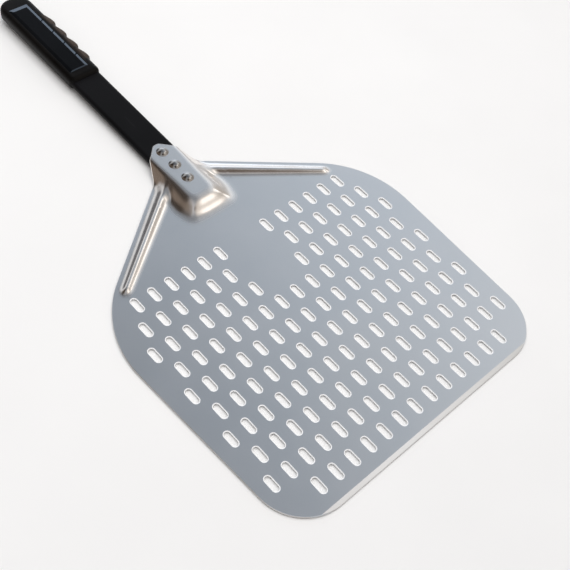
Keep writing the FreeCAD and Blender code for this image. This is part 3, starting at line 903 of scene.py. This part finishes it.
def aim_camera():
    """Look down over the front left corner of the blade towards the handle, a little rolled."""
    middle = (BLADE_LOW + BLADE_HIGH) / 2 * MM
    aim = Vector((middle[0] + CAMERA_AIM[0], middle[1] + CAMERA_AIM[1], 0))
    azimuth, elevation = math.radians(CAMERA_AZIMUTH), math.radians(CAMERA_ELEVATION)
    level = math.cos(elevation)
    towards = Vector((level * math.cos(azimuth), level * math.sin(azimuth), math.sin(elevation)))
    camera = bpy.data.objects.new("camera", bpy.data.cameras.new("camera"))
    bpy.context.scene.collection.objects.link(camera)
    camera.data.sensor_width = 36
    camera.data.lens = CAMERA_LENS
    turn = towards.to_track_quat("Z", "Y").to_matrix().to_4x4()
    turn = turn @ Matrix.Rotation(math.radians(CAMERA_ROLL), 4, "Z")
    camera.matrix_world = Matrix.Translation(aim + towards * CAMERA_DISTANCE) @ turn
    bpy.context.scene.camera = camera


def build_floor():
    """A wide floor just under the peel."""
    mesh = bpy.data.meshes.new("floor")
    corners = [(x * FLOOR_SIZE, y * FLOOR_SIZE, -FLOOR_GAP)
               for x, y in ((-1, -1), (1, -1), (1, 1), (-1, 1))]
    mesh.from_pydata(corners, [], [(0, 1, 2, 3)])
    mesh.materials.append(studio_paper())
    floor = bpy.data.objects.new("floor", mesh)
    bpy.context.scene.collection.objects.link(floor)


def towards_factor(tree, direction, start, full, smooth=True):
    """1 within full degrees of a direction in the world, fading to 0 at start degrees."""
    where = tree.nodes.new("ShaderNodeTexCoord")
    dot = tree.nodes.new("ShaderNodeVectorMath")
    dot.operation = "DOT_PRODUCT"
    dot.inputs[1].default_value = Vector(direction).normalized()
    tree.links.new(where.outputs["Generated"], dot.inputs[0])
    fade = tree.nodes.new("ShaderNodeMapRange")
    fade.interpolation_type = "SMOOTHSTEP" if smooth else "LINEAR"
    fade.inputs["From Min"].default_value = math.cos(math.radians(start))
    fade.inputs["From Max"].default_value = math.cos(math.radians(full))
    tree.links.new(dot.outputs["Value"], fade.inputs["Value"])
    return fade.outputs["Result"]


# softboxes and dark flags for the neck, the ribs, the rivets and the panel's bevel to mirror:
# direction, degrees at which it has faded out, degrees within which it is full, colour
PATCHES = [
    ((0.42, -0.62, 0.66), 40, 22, (0.66, 0.60, 0.54)),
    ((0.92, -0.15, 0.36), 34, 16, (0.47, 0.43, 0.395)),
    ((-0.62, 0.40, 0.66), 44, 18, (0.19, 0.150, 0.122)),
    ((-0.24, 0.48, 0.84), 22, 8, (0.040, 0.030, 0.024)),
    ((-0.14, -0.45, 0.88), 18, 9, (0.10, 0.075, 0.060)),
    ((0.75, -0.02, 0.66), 10, 4, (1.55, 1.49, 1.43)),
    ((0.45, -0.33, 0.83), 12, 5, (1.5, 1.42, 1.35)),
    ((0.08, 0.86, 0.50), 26, 12, (0.72, 0.73, 0.75)),
    ((-0.03, 0.98, 0.17), 18, 8, (0.10, 0.10, 0.11)),
    ((0.56, 0.77, 0.30), 20, 12, (1.22, 1.32, 1.45)),
]


def studio():
    """Soft patches for the metal to mirror, a plain backdrop for the camera, and one large key light."""
    world = bpy.data.worlds.new("studio")
    bpy.context.scene.world = world
    world.use_nodes = True
    tree = world.node_tree
    rightward = towards_factor(tree, (1, 0, 0), 74, 46, smooth=False)
    cool = blend(tree, rightward, LEFT_SKY, RIGHT_SKY)
    around = towards_factor(tree, (0.47, 0.30, 0.83), 46, 26)
    colour = blend(tree, around, BACKDROP, cool)
    for direction, start, full, tint in PATCHES:
        colour = blend(tree, towards_factor(tree, direction, start, full), colour, tint)
    seen = tree.nodes.new("ShaderNodeLightPath").outputs["Is Camera Ray"]
    colour = blend(tree, seen, colour, BACKDROP)
    tree.links.new(colour, tree.nodes["Background"].inputs["Color"])
    light = bpy.data.lights.new("key", "AREA")
    light.shape = "DISK"
    light.size = KEY_SIZE
    light.energy = KEY_POWER
    key = bpy.data.objects.new("key", light)
    bpy.context.scene.collection.objects.link(key)
    key.location = KEY_PLACE
    key.rotation_mode = "QUATERNION"
    key.rotation_quaternion = (Vector(KEY_AIM) - key.location).to_track_quat("-Z", "Y")
    key.visible_glossy = False
    bpy.context.scene.view_settings.view_transform = "Standard"


aim_camera()
build_floor()
studio()
